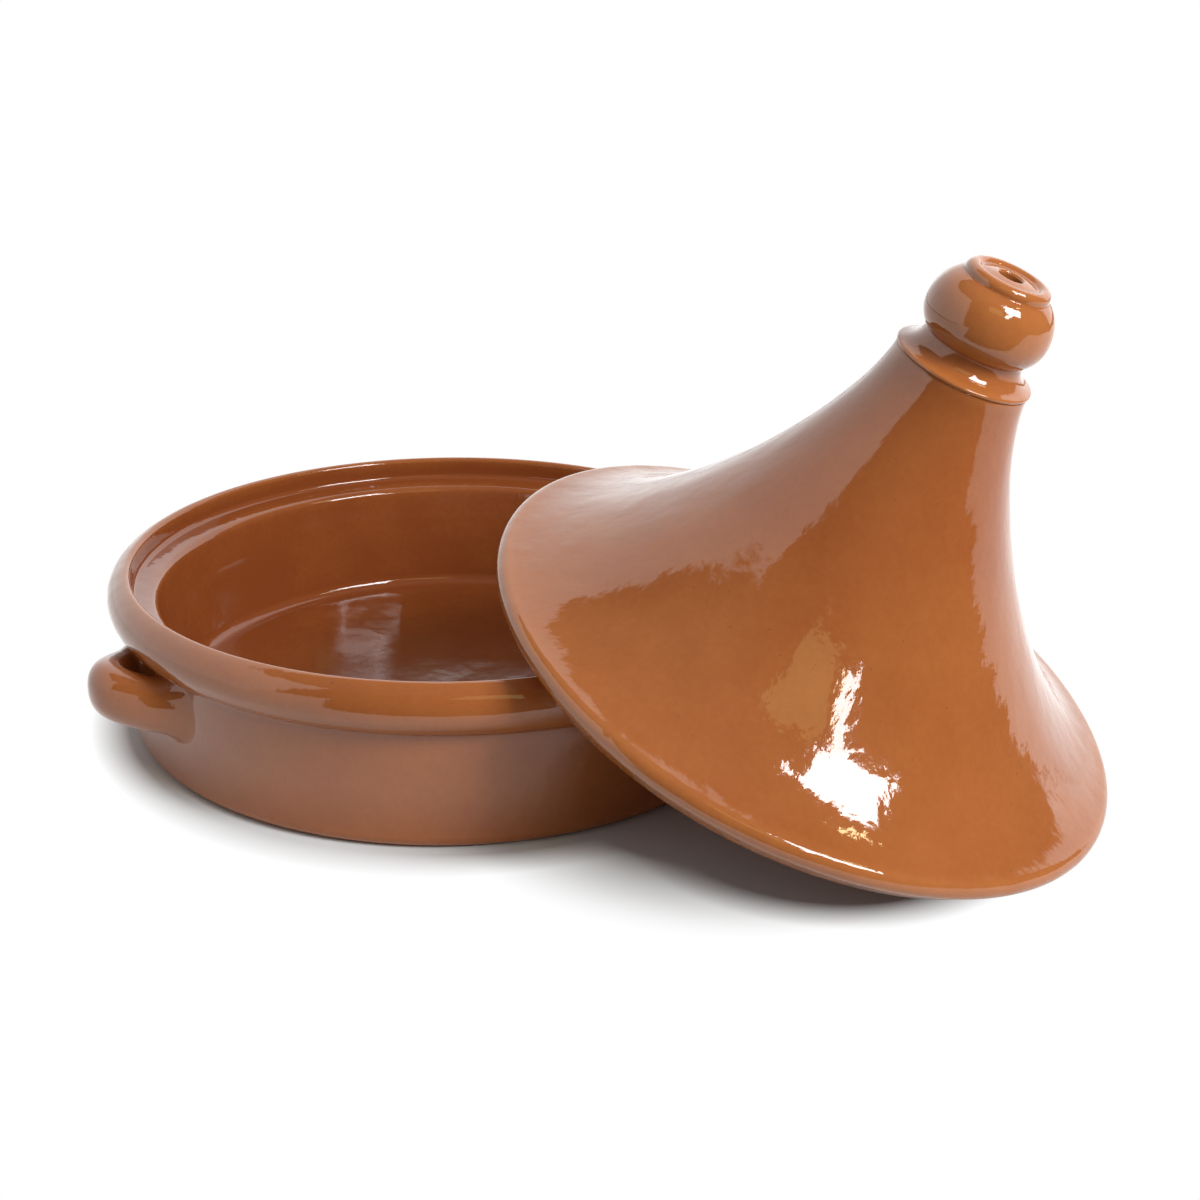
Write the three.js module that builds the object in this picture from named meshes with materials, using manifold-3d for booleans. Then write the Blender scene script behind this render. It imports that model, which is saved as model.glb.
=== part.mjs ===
// Tagine in glazed earthenware: a round dish with two loop handles, and its conical lid
// leaning against the rim with the edge on the table. Millimetres, +Z up, the dish stands on z = 0.
import * as THREE from "three";
import { mergeVertices } from "three/addons/utils/BufferGeometryUtils.js";
import Module from "manifold-3d";

// Dish: wall, rolled rim and the stepped gallery that takes the lid.
const RIM_RADIUS = 140;
const ROLL_RADIUS = 10.5;
const ROLL_HEIGHT = 56;
const ROLL_OVERHANG = 7;
const ROLL_FILLET = 2;
const FOOT_ROUND = 5;
const FLOOR_THICKNESS = 7;
const COVE_ROUND = 5;
const WELL_DRAFT = 1.6;
const GALLERY_WIDTH = 9.8;
const GALLERY_DEPTH = 9.4;
const GALLERY_FALL = 2.4;
const GALLERY_EDGE_ROUND = 1.2;
const RIM_WIDTH = 9.7;
const RIM_ROUND = 2;

// Handles: a thick loop, half an ellipse in plan, that flares where it meets the wall.
const HANDLE_HALF_WIDTH = 12.5;
const HANDLE_REACH = 15.5;
const HANDLE_HALF_THICKNESS = 8;
const HANDLE_HALF_DEPTH = 10.5;
const HANDLE_HEIGHT = 32.5;
const HANDLE_RISE = 3;
const HANDLE_FLARE = 4.8;

// Lid: a thick bevelled lip, a low brim and a cone drawn in to a neck.
const LID_CLEARANCE = 6.1;
const LID_WALL = 7.5;
const LID_HEIGHT = 139.5;
const LIP_OVERHANG = 13.95;
const LIP_HEIGHT = 11.4;
const LIP_UNDER_ROUND = 11.1;
const LIP_EDGE_ROUND = 4.26;
const LIP_INNER_ROUND = 6.5;
const BRIM_SLOPE = 13.2;
const BRIM_PULL = 39.6;
const NECK_RADIUS = 24.4;
const NECK_SLOPE = 4.5;
const NECK_PULL = 36.7;

// Knob: collar, groove, ball and a dished top disc with the vent through its middle.
const COLLAR_EDGE = 0.8;
const COLLAR_SWEEP = 2.8;
const GROOVE_RADIUS = 18.2;
const BALL_RADIUS = 22.45;
const BALL_ROUND = 12;
const BALL_HEIGHT = 17.6;
const DISC_RADIUS = 15.3;
const DISC_ROUND = 4;
const DISC_HEIGHT = 34.6;
const RECESS_DEPTH = 1.9;
const VENT_RADIUS = 4.2;
const VENT_MOUTH_ROUND = 1.1;

// Gaps between pieces, and how the lid leans.
const SEAM = 0.3;
const TABLE_GAP = 0.1;
const LEAN_GAP = 0.3;
const LEAN_ANGLE = 22.27;
const LEAN_BEARING = -62.3;

const WALL_RADIUS = RIM_RADIUS - ROLL_OVERHANG;
const ROLL_CENTRE = RIM_RADIUS - ROLL_RADIUS;
const GALLERY_RADIUS = RIM_RADIUS - RIM_WIDTH;
const WELL_RADIUS = GALLERY_RADIUS - GALLERY_WIDTH;
const LID_RADIUS = GALLERY_RADIUS - LID_CLEARANCE;
const SEAT_RADIUS = LID_RADIUS - LIP_OVERHANG;
const WHEEL_STEPS = 52;
const KNOB_STEPS = 28;

const rad = THREE.MathUtils.degToRad;
const deg = THREE.MathUtils.radToDeg;
const point = (r, z) => new THREE.Vector2(r, z);

// Arc of a profile in the r-z plane, angles in degrees from +r.
function arc(r, z, radius, from, to, steps) {
  return Array.from({ length: steps + 1 }, (_, i) => {
    const angle = rad(from + ((to - from) * i) / steps);
    return point(r + radius * Math.cos(angle), z + radius * Math.sin(angle));
  });
}

// Arc that eases the corner between the straight runs before-at and at-after.
function eased(before, at, after, radius, steps) {
  const back = before.clone().sub(at).normalize();
  const on = after.clone().sub(at).normalize();
  const half = Math.acos(back.dot(on)) / 2;
  const middle = back.clone().add(on).normalize();
  const centre = middle.clone().multiplyScalar(radius / Math.sin(half)).add(at);
  const turn = deg(Math.PI - 2 * half) * Math.sign(on.cross(back));
  const facing = deg(Math.atan2(-middle.y, -middle.x));
  return arc(centre.x, centre.y, radius, facing - turn / 2, facing + turn / 2, steps);
}

// Profile turned on the wheel about Z, with repeated points left out.
function turned(profile, steps) {
  const clean = profile.filter((p, i) => i === 0 || p.distanceTo(profile[i - 1]) > 1e-3);
  return new THREE.LatheGeometry(clean, steps).rotateX(Math.PI / 2);
}

// Rim round: it sits inside the roll, and both share one tangent.
const RIM_ROUND_CENTRE = GALLERY_RADIUS + RIM_ROUND;
const RIM_ROUND_RISE = Math.sqrt((ROLL_RADIUS - RIM_ROUND) ** 2 - (RIM_ROUND_CENTRE - ROLL_CENTRE) ** 2);
const RIM_ROUND_ANGLE = deg(Math.atan2(RIM_ROUND_RISE, RIM_ROUND_CENTRE - ROLL_CENTRE));
const RIM_TOP = ROLL_HEIGHT + RIM_ROUND_RISE + RIM_ROUND;

// Fillet between the wall and the underside of the roll.
const FILLET_CENTRE = WALL_RADIUS + ROLL_FILLET;
const FILLET_DROP = Math.sqrt((ROLL_RADIUS + ROLL_FILLET) ** 2 - (FILLET_CENTRE - ROLL_CENTRE) ** 2);
const FILLET_ANGLE = deg(Math.atan2(-FILLET_DROP, FILLET_CENTRE - ROLL_CENTRE));

// Outside of the dish from the foot round to the top of the roll, grown by a gap.
function dishOutside(gap) {
  return [
    ...arc(WALL_RADIUS - FOOT_ROUND, FOOT_ROUND, FOOT_ROUND + gap, -90, 0, 4),
    ...arc(FILLET_CENTRE, ROLL_HEIGHT - FILLET_DROP, ROLL_FILLET - gap, 180, 180 + FILLET_ANGLE, 3),
    ...arc(ROLL_CENTRE, ROLL_HEIGHT, ROLL_RADIUS + gap, FILLET_ANGLE, RIM_ROUND_ANGLE, 12),
  ];
}

const galleryCorner = point(GALLERY_RADIUS, RIM_TOP - GALLERY_DEPTH);
const galleryEdge = point(WELL_RADIUS, galleryCorner.y - GALLERY_FALL);
const coveCorner = point(WELL_RADIUS - WELL_DRAFT, FLOOR_THICKNESS);
const floorCentre = point(0, FLOOR_THICKNESS);

const dish = turned(
  [
    point(0, 0),
    ...dishOutside(0),
    ...arc(RIM_ROUND_CENTRE, ROLL_HEIGHT + RIM_ROUND_RISE, RIM_ROUND, RIM_ROUND_ANGLE, 180, 5),
    galleryCorner,
    ...eased(galleryCorner, galleryEdge, coveCorner, GALLERY_EDGE_ROUND, 3),
    ...eased(galleryEdge, coveCorner, floorCentre, COVE_ROUND, 4),
    floorCentre,
  ],
  WHEEL_STEPS,
);

// Loop of the handle on +X, swept round half an ellipse with its two ends run into the wall.
function handleLoop() {
  const along = 16;
  const round = 14;
  const rings = [];
  for (let i = -1; i <= along + 1; i += 1) {
    const u = (Math.PI * THREE.MathUtils.clamp(i, 0, along)) / along;
    const sunk = i < 0 || i > along ? ROLL_RADIUS : 0;
    const flare = HANDLE_FLARE * (1 - Math.sin(u)) ** 2;
    const out = point(Math.sin(u) / HANDLE_REACH, Math.cos(u) / HANDLE_HALF_WIDTH).normalize();
    const middle = new THREE.Vector3(
      WALL_RADIUS - SEAM - sunk + HANDLE_REACH * Math.sin(u) + flare * out.x,
      HANDLE_HALF_WIDTH * Math.cos(u) + flare * out.y,
      HANDLE_HEIGHT + HANDLE_RISE * Math.sin(u),
    );
    rings.push({ middle, out, half: HANDLE_HALF_THICKNESS + flare });
  }
  const positions = [];
  for (const { middle, out, half } of rings) {
    for (let k = 0; k < round; k += 1) {
      const v = (2 * Math.PI * k) / round;
      const side = half * Math.cos(v);
      const rise = HANDLE_HALF_DEPTH * Math.sin(v);
      positions.push(middle.x + out.x * side, middle.y + out.y * side, middle.z + rise);
    }
  }
  const last = rings.length - 1;
  const caps = (last + 1) * round;
  positions.push(...rings[0].middle, ...rings[last].middle);
  const faces = [];
  for (let k = 0; k < round; k += 1) {
    const next = (k + 1) % round;
    for (let i = 0; i < last; i += 1) {
      const here = i * round;
      const ahead = here + round;
      faces.push(here + k, here + next, ahead + next, here + k, ahead + next, ahead + k);
    }
    faces.push(caps, next, k, caps + 1, last * round + k, last * round + next);
  }
  const loop = new THREE.BufferGeometry();
  loop.setAttribute("position", new THREE.Float32BufferAttribute(positions, 3));
  loop.setIndex(faces);
  return loop;
}

const wasm = await Module();
wasm.setup();

function solid(geometry) {
  const bare = new THREE.BufferGeometry();
  bare.setAttribute("position", geometry.getAttribute("position"));
  bare.setIndex(geometry.index);
  const merged = mergeVertices(bare, 1e-4);
  return new wasm.Manifold(
    new wasm.Mesh({
      numProp: 3,
      vertProperties: merged.getAttribute("position").array,
      triVerts: new Uint32Array(merged.index.array),
    }),
  );
}

// The loop is cut back to the wall and roll, with a seam left all round its two roots.
const wallOutside = dishOutside(SEAM);
const wallInside = WALL_RADIUS - 3 * ROLL_RADIUS;
const wallBody = turned(
  [
    ...wallOutside,
    point(wallInside, wallOutside.at(-1).y),
    point(wallInside, wallOutside[0].y),
    wallOutside[0],
  ],
  WHEEL_STEPS,
);
const handleMesh = solid(handleLoop()).subtract(solid(wallBody)).getMesh();
const handle = new THREE.BufferGeometry();
handle.setAttribute("position", new THREE.BufferAttribute(handleMesh.vertProperties, 3));
handle.setIndex(new THREE.BufferAttribute(handleMesh.triVerts, 1));
handle.computeVertexNormals();

// Lip: a full round below, a small round at the edge, and a bevel tangent to both.
const edgeCentre = point(LID_RADIUS - LIP_EDGE_ROUND, LIP_HEIGHT);
const underCentre = point(SEAT_RADIUS, LIP_UNDER_ROUND);
const betweenRounds = edgeCentre.clone().sub(underCentre);
const BEVEL_ANGLE = deg(
  Math.atan2(betweenRounds.y, betweenRounds.x) -
    Math.acos((LIP_UNDER_ROUND - LIP_EDGE_ROUND) / betweenRounds.length()),
);
const lip = [
  ...arc(underCentre.x, underCentre.y, LIP_UNDER_ROUND, -90, BEVEL_ANGLE, 5),
  ...arc(edgeCentre.x, edgeCentre.y, LIP_EDGE_ROUND, BEVEL_ANGLE, 90 - BRIM_SLOPE, 6),
];

// Flank: one cubic curve from the brim to the neck, and the inside a wall thickness in from it.
const brim = lip.at(-1);
const neck = point(NECK_RADIUS, LID_HEIGHT);
const flank = new THREE.CubicBezierCurve(
  brim,
  point(-Math.cos(rad(BRIM_SLOPE)), Math.sin(rad(BRIM_SLOPE))).multiplyScalar(BRIM_PULL).add(brim),
  point(Math.sin(rad(NECK_SLOPE)), -Math.cos(rad(NECK_SLOPE))).multiplyScalar(NECK_PULL).add(neck),
  neck,
);
const INSIDE_START = 0.14;
const inside = Array.from({ length: 13 }, (_, i) => {
  const t = 1 - ((1 - INSIDE_START) * i) / 12;
  const way = flank.getTangent(t);
  return point(-way.y, way.x).multiplyScalar(LID_WALL).add(flank.getPoint(t));
});
inside[0].setY(LID_HEIGHT);

const lid = turned(
  [
    ...lip,
    ...flank.getPoints(14),
    ...inside,
    ...arc(SEAT_RADIUS, LIP_INNER_ROUND, LIP_INNER_ROUND, 180, 270, 4),
  ],
  WHEEL_STEPS,
);

// Knob, from its base on the neck; the vent opens into the lid.
const ballCentre = BALL_RADIUS - BALL_ROUND;
const grooveAngle = -deg(Math.acos((GROOVE_RADIUS - ballCentre) / BALL_ROUND));
const creaseAngle = deg(Math.acos((DISC_RADIUS - ballCentre) / BALL_ROUND));
const ball = arc(ballCentre, BALL_HEIGHT, BALL_ROUND, grooveAngle, creaseAngle, 11);
const collar = new THREE.QuadraticBezierCurve(
  point(NECK_RADIUS, COLLAR_EDGE),
  point(GROOVE_RADIUS, COLLAR_SWEEP),
  ball[0],
);
const disc = arc(DISC_RADIUS - DISC_ROUND, DISC_HEIGHT - DISC_ROUND, DISC_ROUND, 0, 110, 6);
const ventMouth = point(VENT_RADIUS, DISC_HEIGHT - RECESS_DEPTH);
const ventFoot = point(VENT_RADIUS, 0);

const knob = turned(
  [
    ventFoot,
    point(NECK_RADIUS, 0),
    ...collar.getPoints(5),
    ...ball,
    ...disc,
    ...eased(disc.at(-1), ventMouth, ventFoot, VENT_MOUTH_ROUND, 3),
    ventFoot,
  ],
  KNOB_STEPS,
);
knob.translate(0, 0, LID_HEIGHT + SEAM);

// Lean: the low edge of the lip stands on the table, and the lid is pushed in until its high
// side meets the roll of the rim.
const leanSin = Math.sin(rad(LEAN_ANGLE));
const leanCos = Math.cos(rad(LEAN_ANGLE));
const leanLift = TABLE_GAP + Math.max(...lip.map((p) => p.x * leanSin - p.y * leanCos));

function rimClearance(distance) {
  let least = Infinity;
  for (const p of lip) {
    for (let turn = 0; turn <= 180; turn += 1) {
      const near = p.x * Math.cos(rad(turn));
      const across = p.x * Math.sin(rad(turn));
      const out = Math.hypot(distance - near * leanCos + p.y * leanSin, across);
      const up = leanLift + p.y * leanCos + near * leanSin;
      least = Math.min(least, Math.hypot(out - ROLL_CENTRE, up - ROLL_HEIGHT) - ROLL_RADIUS);
    }
  }
  return least;
}

let leanFar = RIM_RADIUS + 2 * LID_RADIUS;
while (rimClearance(leanFar - 1) > LEAN_GAP) leanFar -= 1;
let leanNear = leanFar - 1;
for (let i = 0; i < 20; i += 1) {
  const middle = (leanNear + leanFar) / 2;
  if (rimClearance(middle) > LEAN_GAP) leanFar = middle;
  else leanNear = middle;
}

function leaned(geometry) {
  return geometry.rotateY(rad(LEAN_ANGLE)).translate(leanFar, 0, leanLift).rotateZ(rad(LEAN_BEARING));
}

function piece(name, geometry, color, roughness) {
  const glaze = new THREE.MeshStandardMaterial({ color, roughness, metalness: 0 });
  const mesh = new THREE.Mesh(geometry, glaze);
  mesh.name = name;
  return mesh;
}

const tagine = new THREE.Group();
tagine.name = "tagine";
tagine.add(
  piece("dish", dish, 0x8f4f2b, 0.16),
  piece("handle_right", handle, 0x8f4f2b, 0.16),
  piece("handle_left", handle.clone().rotateZ(Math.PI), 0x8f4f2b, 0.16),
  piece("lid", leaned(lid), 0xa8622f, 0.14),
  piece("knob", leaned(knob), 0xa8622f, 0.14),
);

export default tagine;
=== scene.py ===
import math

import bpy
import numpy as np
from mathutils import Matrix, Vector


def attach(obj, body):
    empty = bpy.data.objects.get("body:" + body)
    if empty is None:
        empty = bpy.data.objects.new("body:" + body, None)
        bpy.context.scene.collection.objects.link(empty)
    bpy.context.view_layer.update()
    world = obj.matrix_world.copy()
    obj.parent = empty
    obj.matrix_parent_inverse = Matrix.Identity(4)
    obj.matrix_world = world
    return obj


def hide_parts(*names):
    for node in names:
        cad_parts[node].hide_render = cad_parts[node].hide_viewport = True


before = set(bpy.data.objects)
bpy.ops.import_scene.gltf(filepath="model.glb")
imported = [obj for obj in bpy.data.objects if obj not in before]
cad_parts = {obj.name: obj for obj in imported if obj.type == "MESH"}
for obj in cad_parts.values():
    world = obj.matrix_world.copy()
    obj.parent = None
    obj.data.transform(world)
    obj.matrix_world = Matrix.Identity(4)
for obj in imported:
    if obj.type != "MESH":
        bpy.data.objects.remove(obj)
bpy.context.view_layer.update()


# Dish. A shallow earthenware pan thrown on the wheel, with a flat foot, an upright wall, a fat rolled
# rim and a stepped gallery inside it where the lid sits. It is dipped in a honey brown
# glaze all over, and only the foot that stood on the kiln shelf is bare red clay.
rim_radius = 0.140
roll_radius = 0.0105
roll_height = 0.056
roll_centre = rim_radius - roll_radius
wall_radius = 0.133
roll_fillet = 0.002
foot_round = 0.005
rim_round = 0.002
gallery_radius = rim_radius - 0.0097
well_radius = gallery_radius - 0.0098
gallery_drop = 0.0094
gallery_fall = 0.0024
gallery_corner_round = 0.0026
gallery_edge_round = 0.0034
wall_bend_in = 0.0035
wall_bend_rise = 0.029
wall_bend_round = 0.1
floor_height = 0.007
floor_sag = 0.0018
cove_in = 0.0044
cove_round = 0.0052


def bend(centre, radius, start, end, count):
    """Points on an arc of a profile: centre plus radius times (cos a, sin a), a from start to end in degrees."""
    a = np.radians(np.linspace(start, end, count))
    return np.stack([centre[0] + radius * np.cos(a), centre[1] + radius * np.sin(a)], axis=1)


def softened(before, at, after, radius, count):
    """The arc that is tangent to both straight runs at a corner, its centre on the line that halves the corner."""
    before, at, after = (np.asarray(p, float) for p in (before, at, after))
    back = (before - at) / np.linalg.norm(before - at)
    on = (after - at) / np.linalg.norm(after - at)
    half = math.acos(float(np.clip(back @ on, -1.0, 1.0))) / 2.0
    middle = (back + on) / np.linalg.norm(back + on)
    turn = (180.0 - 2.0 * math.degrees(half)) * np.sign(on[0] * back[1] - on[1] * back[0])
    facing = math.degrees(math.atan2(-middle[1], -middle[0]))
    return bend(at + middle * radius / math.sin(half), radius, facing - turn / 2.0, facing + turn / 2.0, count)


def evened(profile, step):
    """The same profile with points added along its longer runs, so that no two are more than a step apart."""
    runs = np.linalg.norm(np.diff(profile, axis=0), axis=1)
    counts = np.maximum(1, np.ceil(runs / step).astype(int))
    return np.concatenate(
        [np.linspace(a, b, n, endpoint=False) for a, b, n in zip(profile[:-1], profile[1:], counts)] + [profile[-1:]]
    )


def pooling(profile, reach):
    """How the glaze gathers: the turn of the profile, blurred over a reach, below 0 on edges and above 0 in corners."""
    d = np.gradient(profile, axis=0)
    heading = np.unwrap(np.arctan2(d[:, 1], d[:, 0]))
    along = np.concatenate([[0.0], np.cumsum(np.linalg.norm(np.diff(profile, axis=0), axis=1))])
    even = np.linspace(0.0, along[-1], 1600)
    turn = -np.gradient(np.interp(even, along, heading), even)
    spread = np.exp(-0.5 * (np.arange(-400, 401) * (even[1] - even[0]) / reach) ** 2)
    return np.interp(along, even, np.convolve(turn, spread / spread.sum(), mode="same")) * reach


def thrown(profile, steps, looped):
    """A profile (r, z) carried round the axis: (r cos t, r sin t, z) for t all the way round.

    A looped profile closes on itself, and any other starts and ends on the axis, where a fan closes it.
    Returns the points, the faces and each point's place along the profile.
    """
    ring = profile[:-1] if looped else profile[1:-1]
    t = np.linspace(0.0, 2.0 * np.pi, steps, endpoint=False)
    grid = np.stack(
        [
            ring[:, :1] * np.cos(t),
            ring[:, :1] * np.sin(t),
            np.repeat(ring[:, 1:], steps, axis=1),
        ],
        axis=-1,
    )
    rows = len(ring)
    index = np.arange(rows * steps).reshape(rows, steps)
    here = index if looped else index[:-1]
    above = np.roll(index, -1, axis=0) if looped else index[1:]
    quads = np.stack([here, np.roll(here, -1, axis=1), np.roll(above, -1, axis=1), above], axis=-1).reshape(-1, 4)
    points = grid.reshape(-1, 3)
    along = np.repeat(np.arange(rows), steps)
    faces = quads.tolist()
    if not looped:
        low, high = len(points), len(points) + 1
        points = np.concatenate([points, [[0.0, 0.0, profile[0, 1]], [0.0, 0.0, profile[-1, 1]]]])
        along = np.concatenate([along + 1, [0, rows + 1]])
        first, last = index[0], index[-1]
        faces += np.stack([np.full(steps, low), np.roll(first, -1), first], axis=-1).tolist()
        faces += np.stack([np.full(steps, high), last, np.roll(last, -1)], axis=-1).tolist()
    return points, faces, along


def fired(name, points, faces, place, **amounts):
    """A smooth mesh object with its place on the wheel and its glaze amounts kept as point attributes."""
    mesh = bpy.data.meshes.new(name)
    mesh.from_pydata(points.tolist(), [], faces)
    mesh.polygons.foreach_set("use_smooth", np.ones(len(faces), dtype=bool))
    mesh.attributes.new("place", "FLOAT_VECTOR", "POINT").data.foreach_set("vector", place.astype(np.float32).ravel())
    for amount, values in amounts.items():
        mesh.attributes.new(amount, "FLOAT", "POINT").data.foreach_set("value", values.astype(np.float32))
    mesh.update()
    made = bpy.data.objects.new(name, mesh)
    bpy.context.scene.collection.objects.link(made)
    return made


round_centre = gallery_radius + rim_round
round_rise = math.sqrt((roll_radius - rim_round) ** 2 - (round_centre - roll_centre) ** 2)
round_angle = math.degrees(math.atan2(round_rise, round_centre - roll_centre))
rim_top = roll_height + round_rise + rim_round
fillet_centre = wall_radius + roll_fillet
fillet_drop = math.sqrt((roll_radius + roll_fillet) ** 2 - (fillet_centre - roll_centre) ** 2)
fillet_angle = math.degrees(math.atan2(-fillet_drop, fillet_centre - roll_centre))
gallery_corner = (gallery_radius, rim_top - gallery_drop)
gallery_edge = (well_radius, gallery_corner[1] - gallery_fall)
wall_bend = (well_radius - wall_bend_in, floor_height + wall_bend_rise)
cove_corner = (well_radius - cove_in, floor_height)
floor_across = np.linspace(cove_corner[0] - 0.006, 0.0, 24)
floor_level = floor_height - floor_sag * (1 - (floor_across / cove_corner[0]) ** 2)
floor_run = np.stack([floor_across, floor_level], axis=1)

dish_profile = evened(
    np.concatenate(
        [
            [(0.0, 0.0)],
            bend((wall_radius - foot_round, foot_round), foot_round, -90, 0, 12),
            bend((fillet_centre, roll_height - fillet_drop), roll_fillet, 180, 180 + fillet_angle, 8),
            bend((roll_centre, roll_height), roll_radius, fillet_angle, round_angle, 36)[1:],
            bend((round_centre, roll_height + round_rise), rim_round, round_angle, 180, 14)[1:],
            softened((gallery_radius, rim_top), gallery_corner, gallery_edge, gallery_corner_round, 12),
            softened(gallery_corner, gallery_edge, wall_bend, gallery_edge_round, 14),
            softened(gallery_edge, wall_bend, cove_corner, wall_bend_round, 12),
            softened(wall_bend, cove_corner, floor_run[0], cove_round, 12),
            floor_run,
        ]
    ),
    0.003,
)
dish_points, dish_faces, dish_along = thrown(dish_profile, 240, False)
dish_out = np.hypot(*dish_points[:, :2].T)
# Painted shade: the whole inside of the dish, from the gallery in, is pushed towards the thick glaze colour so that it
# is darker.
dish_inside_shade = np.clip((gallery_radius + 0.002 - dish_profile[:, 0]) / 0.002, 0, 1)
dish_inside_shade *= dish_profile[:, 1] > floor_height / 2
dish_bare = np.clip((wall_radius - foot_round + 0.001 - dish_out) / 0.002, 0, 1)
dish_bare *= dish_points[:, 2] < 0.0002
dish_scoured = np.clip((cove_corner[0] - dish_out) / 0.02, 0, 1)
dish_scoured *= dish_points[:, 2] > floor_height / 2
dish = fired(
    "dish_thrown",
    dish_points,
    dish_faces,
    dish_points,
    pool=(pooling(dish_profile, 0.0016) + 0.6 * dish_inside_shade - 0.1)[dish_along],
    bare=dish_bare,
    scoured=dish_scoured,
)


def placed(tree, kind, at=(0, 0), **values):
    """A node of a shader tree, with its inputs set or linked by name (a space is written as an underscore)."""
    node = tree.nodes.new(kind)
    node.location = (at[0] * 200, at[1] * 180)
    for key, value in values.items():
        if key in node.bl_rna.properties:
            setattr(node, key, value)
            continue
        socket = next(s for s in node.inputs if s.name.replace(" ", "_") == key and s.enabled)
        if isinstance(value, bpy.types.NodeSocket):
            tree.links.new(value, socket)
        else:
            socket.default_value = value
    return node


def worked(tree, operation, at, a, b, third=None):
    """A Math node with two values or links, and a third where the operation takes one."""
    node = placed(tree, "ShaderNodeMath", at, operation=operation)
    for socket, value in zip(node.inputs, (a, b, third)):
        if isinstance(value, bpy.types.NodeSocket):
            tree.links.new(value, socket)
        elif value is not None:
            socket.default_value = value
    return node.outputs[0]


# The glaze skin: cloudy tone, a few iron specks, ripples that ran down before it set, and gloss.
glaze_skin = bpy.data.node_groups.new("glaze_skin", "ShaderNodeTree")
for socket_name, socket_kind in (("Place", "Vector"), ("PoolAndShade", "Float"), ("Run", "Float")):
    glaze_skin.interface.new_socket(socket_name, in_out="INPUT", socket_type="NodeSocket" + socket_kind)
for socket_name in ("Tone", "Specks", "Ripple", "Gloss"):
    glaze_skin.interface.new_socket(socket_name, in_out="OUTPUT", socket_type="NodeSocketFloat")
skin_in = placed(glaze_skin, "NodeGroupInput", (-5, 0))
skin_out = placed(glaze_skin, "NodeGroupOutput", (4, 0))
place = skin_in.outputs["Place"]
clouds = placed(glaze_skin, "ShaderNodeTexNoise", (-3, 3), Vector=place, Scale=24.0, Detail=4.0, Roughness=0.55)
grains = placed(glaze_skin, "ShaderNodeTexNoise", (-3, 2), Vector=place, Scale=420.0, Detail=2.0, Roughness=0.6)
tone = worked(glaze_skin, "MULTIPLY_ADD", (-2, 3), clouds.outputs["Fac"], 1.1, -0.05)
tone = worked(glaze_skin, "SUBTRACT", (-1, 4), tone, 0.225)
tone = worked(glaze_skin, "MULTIPLY_ADD", (-1, 3), grains.outputs["Fac"], 0.45, tone)
tone = worked(glaze_skin, "MULTIPLY_ADD", (0, 3), skin_in.outputs["PoolAndShade"], 0.9, tone)
glaze_skin.links.new(tone, skin_out.inputs["Tone"])
cells = placed(glaze_skin, "ShaderNodeTexVoronoi", (-3, 1), Vector=place, Scale=260.0)
chosen = placed(glaze_skin, "ShaderNodeSeparateColor", (-2, 1), Color=cells.outputs["Color"])
small = worked(glaze_skin, "LESS_THAN", (-1, 2), cells.outputs["Distance"], 0.09)
few = worked(glaze_skin, "GREATER_THAN", (-1, 1), chosen.outputs[0], 0.88)
speck = worked(glaze_skin, "MULTIPLY", (0, 2), small, few)
glaze_skin.links.new(speck, skin_out.inputs["Specks"])
drawn_out = placed(glaze_skin, "ShaderNodeCombineXYZ", (-4, 0), X=1.0, Y=1.0, Z=skin_in.outputs["Run"])
run_place = placed(glaze_skin, "ShaderNodeVectorMath", (-3, 0), operation="MULTIPLY")
glaze_skin.links.new(place, run_place.inputs[0])
glaze_skin.links.new(drawn_out.outputs[0], run_place.inputs[1])
runs = placed(
    glaze_skin, "ShaderNodeTexNoise", (-2, 0), Vector=run_place.outputs[0], Scale=48.0, Detail=5.0, Roughness=0.42
)
glaze_skin.links.new(runs.outputs["Fac"], skin_out.inputs["Ripple"])
gloss = worked(glaze_skin, "MULTIPLY_ADD", (0, -1), clouds.outputs["Fac"], 0.05, 0.035)
glaze_skin.links.new(gloss, skin_out.inputs["Gloss"])


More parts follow.
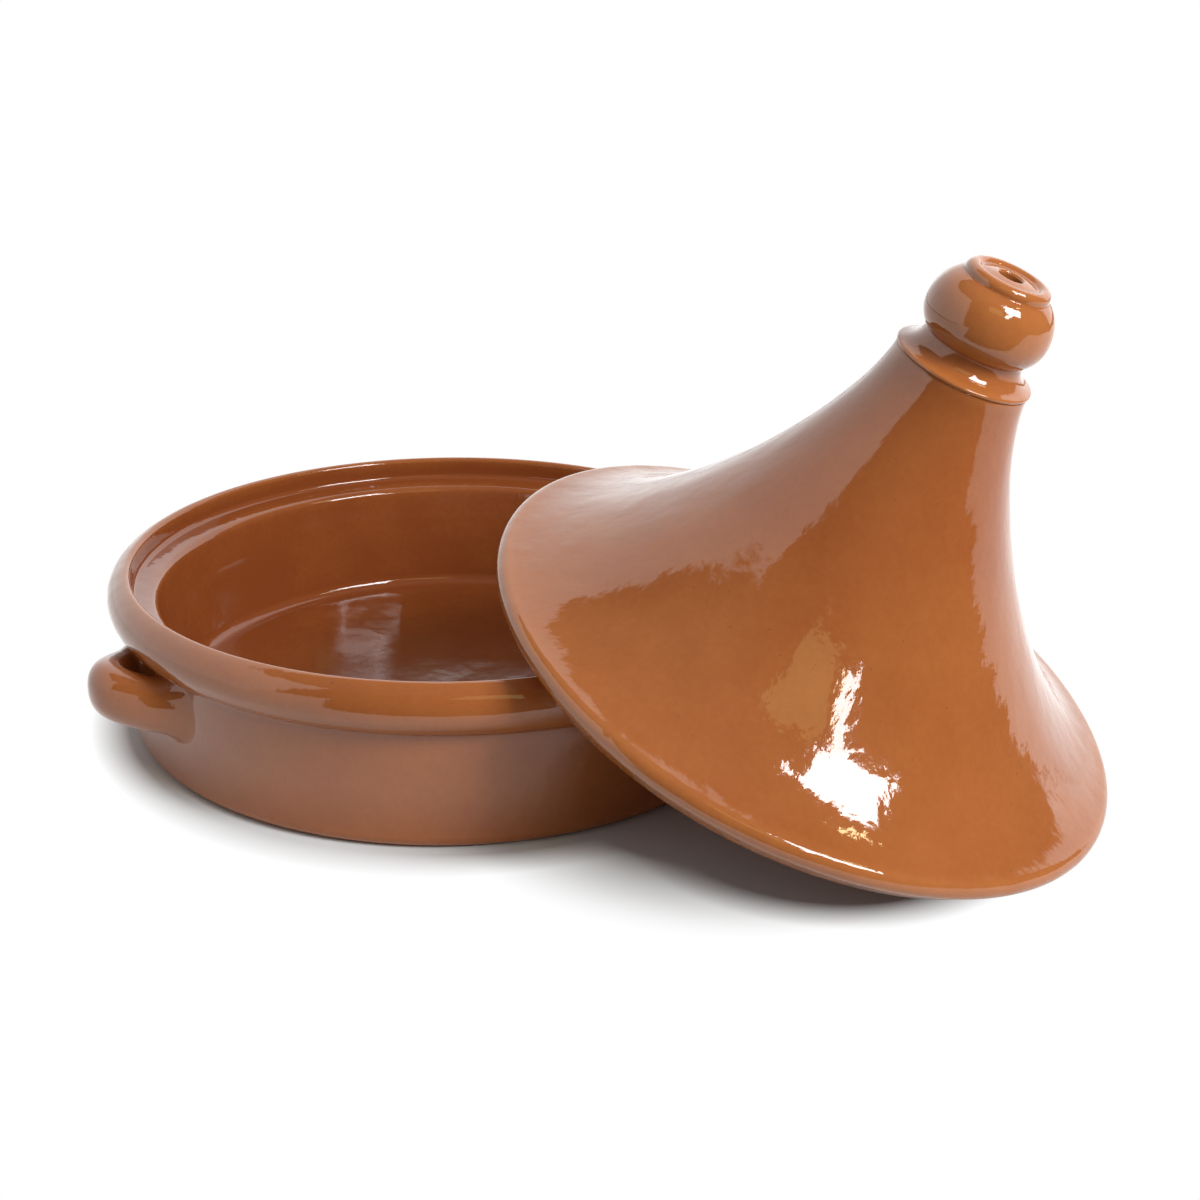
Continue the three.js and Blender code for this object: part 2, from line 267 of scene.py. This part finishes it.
def glazed(name, thin, thick, ripple_depth, run, bare):
    """A glaze over red clay: thin where it drew off edges, thick where it gathered, under one clear gloss. Its pool
    value also carries painted shade inside the dish and an even darkening up the lid.
    """
    made = bpy.data.materials.new(name)
    made.use_nodes = True
    tree = made.node_tree
    tree.nodes.clear()
    put = placed(tree, "ShaderNodeOutputMaterial", (5, 0))
    skin = placed(tree, "ShaderNodeGroup", (-1, 0), node_tree=glaze_skin)
    wheel = placed(tree, "ShaderNodeAttribute", (-2, 1), attribute_name="place")
    gathered = placed(tree, "ShaderNodeAttribute", (-2, 0), attribute_name="pool")
    tree.links.new(wheel.outputs["Vector"], skin.inputs["Place"])
    tree.links.new(gathered.outputs["Fac"], skin.inputs["PoolAndShade"])
    skin.inputs["Run"].default_value = run
    body = placed(tree, "ShaderNodeMix", (0, 2), data_type="RGBA")
    body.clamp_factor = True
    tree.links.new(skin.outputs["Tone"], body.inputs["Factor"])
    body.inputs[6].default_value = (*thin, 1.0)
    body.inputs[7].default_value = (*thick, 1.0)
    spotted = placed(tree, "ShaderNodeMix", (1, 2), data_type="RGBA")
    tree.links.new(worked(tree, "MULTIPLY", (0, 1), skin.outputs["Specks"], 0.4), spotted.inputs["Factor"])
    tree.links.new(body.outputs[2], spotted.inputs[6])
    spotted.inputs[7].default_value = (0.09, 0.028, 0.012, 1.0)
    colour, gloss_out = spotted.outputs[2], skin.outputs["Gloss"]
    if bare:
        clay = placed(tree, "ShaderNodeAttribute", (0, -1), attribute_name="bare")
        shown = placed(tree, "ShaderNodeMix", (2, 2), data_type="RGBA")
        tree.links.new(clay.outputs["Fac"], shown.inputs["Factor"])
        tree.links.new(colour, shown.inputs[6])
        shown.inputs[7].default_value = (0.42, 0.17, 0.085, 1.0)
        dull = placed(tree, "ShaderNodeMix", (2, 0))
        tree.links.new(clay.outputs["Fac"], dull.inputs["Factor"])
        rubbed = placed(tree, "ShaderNodeAttribute", (0, -2), attribute_name="scoured")
        tree.links.new(worked(tree, "MULTIPLY_ADD", (1, 0), rubbed.outputs["Fac"], 0.09, gloss_out), dull.inputs[2])
        dull.inputs[3].default_value = 0.85
        colour, gloss_out = shown.outputs[2], dull.outputs[0]
    relief = placed(tree, "ShaderNodeBump", (2, -1), Strength=1.0, Distance=ripple_depth)
    tree.links.new(skin.outputs["Ripple"], relief.inputs["Height"])
    shader = placed(tree, "ShaderNodeBsdfPrincipled", (3, 0), IOR=1.5)
    tree.links.new(colour, shader.inputs["Base Color"])
    tree.links.new(gloss_out, shader.inputs["Roughness"])
    tree.links.new(relief.outputs["Normal"], shader.inputs["Normal"])
    tree.links.new(shader.outputs["BSDF"], put.inputs["Surface"])
    return made


# The dish's thick colour is darker than the lid's, which deepens the painted shade inside the dish.
dish_glaze = glazed("dish_glaze", (0.405, 0.124, 0.031), (0.265, 0.068, 0.018), 0.0006, 0.6, True)
dish.data.materials.append(dish_glaze)
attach(dish, "dish")
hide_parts("dish")


# Handles. Two thick pulled loops of the same clay, squarish in section, luted to the wall under the
# roll on opposite sides and smoothed out wide at the roots, with a finger gap between loop and wall.
loop_half_width = 0.0125
loop_reach = 0.0155
loop_half_thickness = 0.008
loop_half_depth = 0.0105
loop_height = 0.0342
loop_rise = 0.0042
loop_flare = 0.0048
loop_squareness = 0.86
root_round = 0.0045


def loop(along, round_steps):
    """A squarish oval carried round half an ellipse in plan: out along x by reach sin u, across y by half width cos u.

    Near both roots the oval grows outwards by flare (1 - sin u)^2. Within a root round of the wall it also
    spreads by a quarter circle all the way round, and it leans back with the curve of the wall.
    """
    u = 0.5 * np.pi * (1.0 - np.cos(np.linspace(0.0, np.pi, along)))
    u = np.concatenate([[0.0], u, [np.pi]])
    sunk = np.zeros(len(u))
    sunk[[0, -1]] = 0.006
    out_by = loop_reach * np.sin(u)
    flare = loop_flare * (1.0 - np.sin(u)) ** 2
    spread = root_round - np.sqrt(root_round**2 - np.clip(root_round - out_by, 0.0, None) ** 2)
    out = np.stack([np.sin(u) / loop_reach, np.cos(u) / loop_half_width], axis=1)
    out /= np.linalg.norm(out, axis=1, keepdims=True)
    middle = np.stack(
        [
            wall_radius - 0.0003 - sunk + out_by + flare * out[:, 0],
            loop_half_width * np.cos(u) + flare * out[:, 1],
            loop_height + loop_rise * np.sin(u),
        ],
        axis=1,
    )
    v = np.linspace(0.0, 2.0 * np.pi, round_steps, endpoint=False)
    across, upward = (np.sign(wave) * np.abs(wave) ** loop_squareness for wave in (np.cos(v), np.sin(v)))
    side = (loop_half_thickness + flare + spread)[:, None] * across
    grid = np.empty((len(u), round_steps, 3))
    grid[..., 0] = middle[:, :1] + out[:, :1] * side
    grid[..., 1] = middle[:, 1:2] + out[:, 1:2] * side
    grid[..., 2] = middle[:, 2:] + (loop_half_depth + spread)[:, None] * upward
    nearness = np.clip(1.0 - out_by / 0.012, 0.0, 1.0)[:, None] ** 2
    grid[..., 0] -= nearness * (wall_radius - np.sqrt(wall_radius**2 - grid[..., 1] ** 2))
    index = np.arange(grid.size // 3).reshape(len(u), round_steps)
    near, far = index[:-1], index[1:]
    quads = np.stack([near, np.roll(near, -1, axis=1), np.roll(far, -1, axis=1), far], axis=-1).reshape(-1, 4)
    ends = [index[0][::-1].tolist(), index[-1].tolist()]
    return grid.reshape(-1, 3), quads.tolist() + ends


for handle_name, facing in (("handle_right", 1.0), ("handle_left", -1.0)):
    loop_points, loop_faces = loop(96, 48)
    loop_points = loop_points * np.array([facing, facing, 1.0])
    handle = fired(
        handle_name + "_pulled",
        loop_points,
        loop_faces,
        loop_points,
        pool=np.full(len(loop_points), -0.3),
        bare=np.zeros(len(loop_points)),
        scoured=np.zeros(len(loop_points)),
    )
    handle.data.materials.append(dish_glaze)
    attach(handle, "dish")
    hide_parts(handle_name)


# Lid. A tall flared cone of the same clay, thrown upside down with a thick rolled lip that is bevelled
# to sit on the gallery, and glazed inside and out. It leans here with its lip on the rim and the table.
lid_height = 0.1395
lid_wall = 0.0075
lip_edge_round = 0.00426
lip_under_round = 0.0111
lip_inner_round = 0.0065
lid_radius = gallery_radius - 0.0061
seat_radius = lid_radius - 0.01395
neck_radius = 0.0244
brim_slope = math.radians(13.2)
neck_slope = math.radians(4.5)
lean = math.radians(22.27)
lean_bearing = math.radians(-62.3)
lean_distance = 0.154288
lean_height = 0.042688

edge_centre = np.array([lid_radius - lip_edge_round, 0.0114])
under_centre = np.array([seat_radius, lip_under_round])
between = edge_centre - under_centre
bevel = math.degrees(
    math.atan2(between[1], between[0]) - math.acos((lip_under_round - lip_edge_round) / np.linalg.norm(between))
)
brim = edge_centre + lip_edge_round * np.array([math.sin(brim_slope), math.cos(brim_slope)])
neck = np.array([neck_radius, lid_height])
brim_pull = brim + 0.0396 * np.array([-math.cos(brim_slope), math.sin(brim_slope)])
neck_pull = neck + 0.0367 * np.array([math.sin(neck_slope), -math.cos(neck_slope)])


def flank(t):
    """The cone's side: one cubic curve from brim to neck that leaves each along its slope."""
    t = t[:, None]
    return (1 - t) ** 3 * brim + 3 * (1 - t) ** 2 * t * brim_pull + 3 * (1 - t) * t**2 * neck_pull + t**3 * neck


def inner_flank(t):
    """The inside of the cone: the flank moved square to itself by the wall's thickness."""
    way = (flank(t + 1e-4) - flank(t - 1e-4)) / 2e-4
    way /= np.linalg.norm(way, axis=1, keepdims=True)
    return flank(t) + lid_wall * np.stack([-way[:, 1], way[:, 0]], axis=1)


lid_inside = inner_flank(np.linspace(1.0, 0.14, 60))
lid_inside[0, 1] = lid_height
lid_profile = evened(
    np.concatenate(
        [
            bend(under_centre, lip_under_round, -90, bevel, 14),
            bend(edge_centre, lip_edge_round, bevel, 90 - math.degrees(brim_slope), 22),
            flank(np.linspace(0.0, 1.0, 90))[1:],
            lid_inside,
            bend((seat_radius, lip_inner_round), lip_inner_round, 180, 270, 12),
        ]
    ),
    0.004,
)


def leaned(points):
    """Points of the upright lid tipped by the lean, moved out to where lip and rim meet, and turned to the bearing."""
    tip = np.array(Matrix.Rotation(lean, 3, "Y"))
    turn = np.array(Matrix.Rotation(lean_bearing, 3, "Z"))
    return (points @ tip.T + [lean_distance, 0.0, lean_height]) @ turn.T


lid_points, lid_faces, lid_along = thrown(lid_profile, 240, True)
# Besides the glaze gathering, the lid's tone darkens evenly from 20 mm to 90 mm up from its lip.
lid = fired(
    "lid_thrown",
    leaned(lid_points),
    lid_faces,
    lid_points,
    pool=pooling(lid_profile, 0.0016)[lid_along] + 0.35 * np.clip((lid_points[:, 2] - 0.02) / 0.07, 0, 1) - 0.15,
)
lid_glaze = glazed("lid_glaze", (0.412, 0.134, 0.035), (0.30, 0.078, 0.018), 0.001, 0.45, False)
lid.data.materials.append(lid_glaze)
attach(lid, "lid")
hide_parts("lid")


# Knob. Turned from a solid lump and luted on the neck: a hollow-sided collar, a deep groove, a ball
# to grip and a top disc with a ring groove, with the steam vent bored down the middle into the lid.
groove_radius = 0.0182
ball_radius = 0.02245
ball_round = 0.012
ball_height = 0.0176
ball_stretch = 0.22
disc_radius = 0.0153
disc_round = 0.0028
disc_height = 0.0346
ring_radius = 0.0102
ring_depth = 0.0014
ring_round = 0.0015
vent_radius = 0.0042
vent_round = 0.0011
vent_drop = 0.0002
knob_seam = 0.0003
bead_round = 0.0008

ball_centre = (ball_radius - ball_round, ball_height)
groove_angle = -math.degrees(math.acos((groove_radius - ball_centre[0]) / ball_round))
crease_angle = math.degrees(math.acos((disc_radius - ball_centre[0]) / ball_round))
ball = bend(ball_centre, ball_round, groove_angle, crease_angle, 48)
ball[:, 1] += ball_stretch * np.clip(ball[:, 1] - ball_height, 0, None)
luted = bend((neck_radius - knob_seam, knob_seam), bead_round, -90, 60, 10)
rise = np.linspace(0.0, 1.0, 18)[:, None]
collar = (
    (1 - rise) ** 2 * luted[-1]
    + 2 * (1 - rise) * rise * np.array([groove_radius, 0.0028])
    + rise**2 * ball[0]
)
disc = bend((disc_radius - disc_round, disc_height - disc_round), disc_round, 0, 110, 20)
ring_groove = (ring_radius, disc_height - ring_depth)
vent_mouth = (vent_radius, disc_height - vent_drop)
knob_profile = evened(
    np.concatenate(
        [
            [(vent_radius, 0.0)],
            luted,
            collar[1:],
            ball[1:],
            disc,
            softened(disc[-1], ring_groove, vent_mouth, ring_round, 8),
            softened(ring_groove, vent_mouth, (vent_radius, 0.0), vent_round, 10),
            [(vent_radius, 0.0)],
        ]
    ),
    0.0015,
)
knob_points, knob_faces, knob_along = thrown(knob_profile, 160, True)
knob_points = knob_points + [0.0, 0.0, lid_height + knob_seam]
knob = fired(
    "knob_turned",
    leaned(knob_points),
    knob_faces,
    knob_points,
    pool=pooling(knob_profile, 0.0012)[knob_along] - 0.4,
)
knob.data.materials.append(lid_glaze)
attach(knob, "lid")
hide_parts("knob")


# Table. A white sweep that the pot stands on, and a low white card beside it. Near the pot the sweep takes the real
# soft shadow;
# further out it glows white to the eye and in the gloss of the glaze, so the outer edge of the shadow is painted. The
# card shows only in the gloss.
def sheet_of(name, corners):
    """A flat sheet inside a ring of corners."""
    mesh = bpy.data.meshes.new(name)
    mesh.from_pydata(corners, [], [tuple(range(len(corners)))])
    made = bpy.data.objects.new(name, mesh)
    bpy.context.scene.collection.objects.link(made)
    return made


view_bearing = math.radians(35.0)
heading = np.array([math.sin(view_bearing), math.cos(view_bearing), 0.0])
rightward = np.array([heading[1], -heading[0], 0.0])
table_ring = (
    (-5.0, -5.5),
    (-0.22, -0.41),
    (-0.12, -0.29),
    (0.25, -0.30),
    (1.6, -0.75),
    (1.6, 8.0),
    (-5.0, 8.0),
)
table = sheet_of(
    "table",
    [(across * rightward + away * heading + [0.0, 0.0, -0.0001]).tolist() for across, away in table_ring],
)
table_white = bpy.data.materials.new("table_white")
table_white.use_nodes = True
table_tree = table_white.node_tree
table_tree.nodes.clear()
table_put = placed(table_tree, "ShaderNodeOutputMaterial", (5, 0))
table_face = placed(table_tree, "ShaderNodeBsdfDiffuse", (2, 1), Color=(0.76, 0.8, 0.82, 1.0))
table_place = placed(table_tree, "ShaderNodeTexCoord", (-4, 0)).outputs["Object"]


def whitened(middle, radius, reach, at):
    """How much painted white glow covers the table round a footprint: 0 inside the radius, where the real shadow shows,
    rising evenly to 1 at the end of the reach, which paints where the shadow ends.
    """
    gap = placed(table_tree, "ShaderNodeVectorMath", (-3, at), operation="DISTANCE")
    table_tree.links.new(table_place, gap.inputs[0])
    gap.inputs[1].default_value = (*middle, 0.0)
    node = placed(table_tree, "ShaderNodeMapRange", (-2, at))
    node.inputs["From Min"].default_value = radius
    node.inputs["From Max"].default_value = radius + reach
    table_tree.links.new(gap.outputs["Value"], node.inputs["Value"])
    return node.outputs["Result"]


# Painted shadow edge: to the eye the glow fades in over a reach set for each side of the footprints, so the shadow's
# outer fall-off is painted. In the gloss a longer reach paints where the reflected dark of the table ends.
lid_foot = (lean_distance * math.cos(lean_bearing), lean_distance * math.sin(lean_bearing))
painted_shadow_edge = worked(
    table_tree,
    "MULTIPLY",
    (-1, 2),
    whitened((0.0, 0.0), wall_radius + 0.003, 0.015, 3),
    worked(
        table_tree,
        "MULTIPLY",
        (-1, 1),
        whitened((lid_foot[0] - 0.009, lid_foot[1] - 0.029), 0.063, 0.016, 2),
        whitened((lid_foot[0] - 0.03, lid_foot[1] + 0.012), 0.06, 0.047, 1),
    ),
)
painted_reflection_edge = worked(
    table_tree,
    "MULTIPLY",
    (-1, 0),
    whitened((0.0, 0.0), wall_radius, 0.04, 0),
    whitened(lid_foot, 0.72 * lid_radius, 0.09, -1),
)
table_rays = placed(table_tree, "ShaderNodeLightPath", (-1, -2))
table_glow = placed(table_tree, "ShaderNodeEmission", (2, -1), Color=(1.0, 1.0, 1.0, 1.0))
table_shine = worked(table_tree, "MULTIPLY_ADD", (1, -1), table_rays.outputs["Is Glossy Ray"], 0.45, 1.0)
table_tree.links.new(table_shine, table_glow.inputs["Strength"])
table_seen = worked(
    table_tree,
    "MULTIPLY_ADD",
    (2, -2),
    table_rays.outputs["Is Camera Ray"],
    painted_shadow_edge,
    worked(table_tree, "MULTIPLY", (1, -2), table_rays.outputs["Is Glossy Ray"], painted_reflection_edge),
)
table_mix = placed(table_tree, "ShaderNodeMixShader", (4, 0))
table_tree.links.new(table_seen, table_mix.inputs[0])
table_tree.links.new(table_face.outputs[0], table_mix.inputs[1])
table_tree.links.new(table_glow.outputs[0], table_mix.inputs[2])
table_tree.links.new(table_mix.outputs[0], table_put.inputs["Surface"])
table.data.materials.append(table_white)

card_ring = ((-0.22, -0.41, 0.0), (-0.6, -0.47, 0.0), (-0.6, -0.47, 0.2), (-0.22, -0.41, 0.2))
card = sheet_of(
    "card",
    [(across * rightward + away * heading + [0.0, 0.0, up]).tolist() for across, away, up in card_ring],
)
card_white = bpy.data.materials.new("card_white")
card_white.use_nodes = True
card_tree = card_white.node_tree
card_tree.nodes.clear()
card_put = placed(card_tree, "ShaderNodeOutputMaterial", (3, 0))
card_rays = placed(card_tree, "ShaderNodeLightPath", (0, 1))
card_clear = placed(card_tree, "ShaderNodeBsdfTransparent", (1, 0))
card_glow = placed(card_tree, "ShaderNodeEmission", (1, -1), Color=(1.0, 1.0, 1.0, 1.0), Strength=1.45)
card_mix = placed(card_tree, "ShaderNodeMixShader", (2, 0))
card_tree.links.new(card_rays.outputs["Is Glossy Ray"], card_mix.inputs[0])
card_tree.links.new(card_clear.outputs[0], card_mix.inputs[1])
card_tree.links.new(card_glow.outputs[0], card_mix.inputs[2])
card_tree.links.new(card_mix.outputs[0], card_put.inputs["Surface"])
card.data.materials.append(card_white)


# Light. A soft lamp high on the right in front of the pot with four smaller ones beside it, and a white
# sweep that stands round the pot's back and sides. Overhead and behind the camera the room is dim.
def panel(name, at, towards, wide, high, roll, radiance, colour):
    """A rectangular lamp at a point, facing another, whose face is as bright as the radiance says."""
    lamp = bpy.data.lights.new(name, "AREA")
    lamp.shape = "RECTANGLE"
    lamp.size, lamp.size_y = wide, high
    lamp.energy = radiance * math.pi * wide * high
    lamp.color = colour
    made = bpy.data.objects.new(name, lamp)
    bpy.context.scene.collection.objects.link(made)
    turned = (Vector(at) - Vector(towards)).to_track_quat("Z", "Y").to_matrix().to_4x4()
    made.matrix_world = Matrix.Translation(at) @ turned @ Matrix.Rotation(math.radians(roll), 4, "Z")
    return made


pot_middle = (0.07, -0.14, 0.08)
panel("lamp_front", (0.363, -1.099, 0.983), pot_middle, 0.55, 0.37, -37.0, 24.0, (0.97, 0.98, 1.0))
panel("lamp_strip", (0.099, -1.232, 0.874), pot_middle, 0.36, 0.1, 31.0, 22.0, (0.97, 0.98, 1.0))
panel("lamp_edge", (0.063, -1.206, 0.908), pot_middle, 0.36, 0.012, 31.0, 18.0, (1.0, 0.86, 0.5))
panel("lamp_glow", (-0.275, -1.039, 1.026), pot_middle, 0.5, 0.3, -28.0, 1.4, (1.0, 0.87, 0.35))
panel("lamp_warm", (0.683, -0.845, 1.054), pot_middle, 0.16, 0.05, -24.0, 22.0, (1.0, 0.82, 0.45))

room = bpy.data.worlds.new("room")
bpy.context.scene.world = room
room.use_nodes = True
room_tree = room.node_tree
room_tree.nodes.clear()
room_put = placed(room_tree, "ShaderNodeOutputWorld", (4, 0))
room_rays = placed(room_tree, "ShaderNodeLightPath", (-1, 2))
room_way = placed(room_tree, "ShaderNodeTexCoord", (-5, 0)).outputs["Generated"]
room_back = placed(room_tree, "ShaderNodeVectorMath", (-4, 1), operation="DOT_PRODUCT")
room_tree.links.new(room_way, room_back.inputs[0])
room_back.inputs[1].default_value = heading
room_side = placed(room_tree, "ShaderNodeVectorMath", (-4, 0), operation="DOT_PRODUCT")
room_tree.links.new(room_way, room_side.inputs[0])
room_side.inputs[1].default_value = rightward
room_turn = worked(room_tree, "ARCTAN2", (-3, 1), room_side.outputs["Value"], room_back.outputs["Value"])
room_rise = placed(room_tree, "ShaderNodeSeparateXYZ", (-4, -1), Vector=room_way).outputs["Z"]


def faded(value, start, end, at):
    """A soft step of the room's white: 0 before start and 1 after end."""
    node = placed(room_tree, "ShaderNodeMapRange", at, interpolation_type="SMOOTHSTEP")
    node.inputs["From Min"].default_value = start
    node.inputs["From Max"].default_value = end
    room_tree.links.new(value, node.inputs["Value"])
    return node.outputs["Result"]


sweep_left = faded(room_turn, math.radians(-129.0), math.radians(-126.0), (-2, 2))
sweep_right = faded(room_turn, math.radians(65.0), math.radians(61.0), (-2, 1))
sweep_ahead = faded(room_turn, math.radians(-45.0), math.radians(0.0), (-4, -2))
sweep_lift = worked(room_tree, "MULTIPLY_ADD", (-3, -2), sweep_ahead, -0.075, room_rise)
sweep_top = faded(sweep_lift, math.sin(math.radians(57.0)), math.sin(math.radians(54.0)), (-2, 0))
sweep_foot = faded(room_rise, -0.02, 0.0, (-2, -1))
sweep = worked(
    room_tree,
    "MULTIPLY",
    (0, 0),
    worked(room_tree, "MULTIPLY", (-1, 1), sweep_left, sweep_right),
    worked(room_tree, "MULTIPLY", (-1, 0), sweep_top, sweep_foot),
)
room_light = placed(room_tree, "ShaderNodeBackground", (2, 0), Color=(1.0, 1.0, 1.0, 1.0))
sweep_white = worked(room_tree, "MULTIPLY_ADD", (0, 1), room_rays.outputs["Is Glossy Ray"], 1.35, 0.2)
overhead = faded(room_rise, math.sin(math.radians(50.0)), math.sin(math.radians(72.0)), (-2, -2))
dim = worked(
    room_tree,
    "MULTIPLY",
    (0, -1),
    worked(room_tree, "MULTIPLY_ADD", (-1, -1), overhead, 0.25, 0.22),
    worked(room_tree, "MULTIPLY_ADD", (-1, -2), room_rays.outputs["Is Glossy Ray"], -0.45, 1.0),
)
room_tree.links.new(worked(room_tree, "MULTIPLY_ADD", (1, 0), sweep, sweep_white, dim), room_light.inputs["Strength"])
room_seen = placed(room_tree, "ShaderNodeBackground", (2, -1), Color=(1.0, 1.0, 1.0, 1.0), Strength=1.0)
room_mix = placed(room_tree, "ShaderNodeMixShader", (3, 0))
room_tree.links.new(room_rays.outputs["Is Camera Ray"], room_mix.inputs[0])
room_tree.links.new(room_light.outputs[0], room_mix.inputs[1])
room_tree.links.new(room_seen.outputs[0], room_mix.inputs[2])
room_tree.links.new(room_mix.outputs[0], room_put.inputs["Surface"])
bpy.context.scene.view_settings.view_transform = "Standard"


# Camera. A 50 mm lens a little under three quarters of a metre away, looking down on the pot past its
# left handle.
lens = bpy.data.cameras.new("lens")
lens.sensor_width = 36.0
lens.lens = 50.11
camera = bpy.data.objects.new("camera", lens)
bpy.context.scene.collection.objects.link(camera)
camera.matrix_world = (
    Matrix.Translation((-0.32491, -0.57187, 0.30632))
    @ Matrix.Rotation(-view_bearing, 4, "Z")
    @ Matrix.Rotation(math.radians(90.0 - 21.76), 4, "X")
    @ Matrix.Rotation(math.radians(1.20), 4, "Z")
)
bpy.context.scene.camera = camera
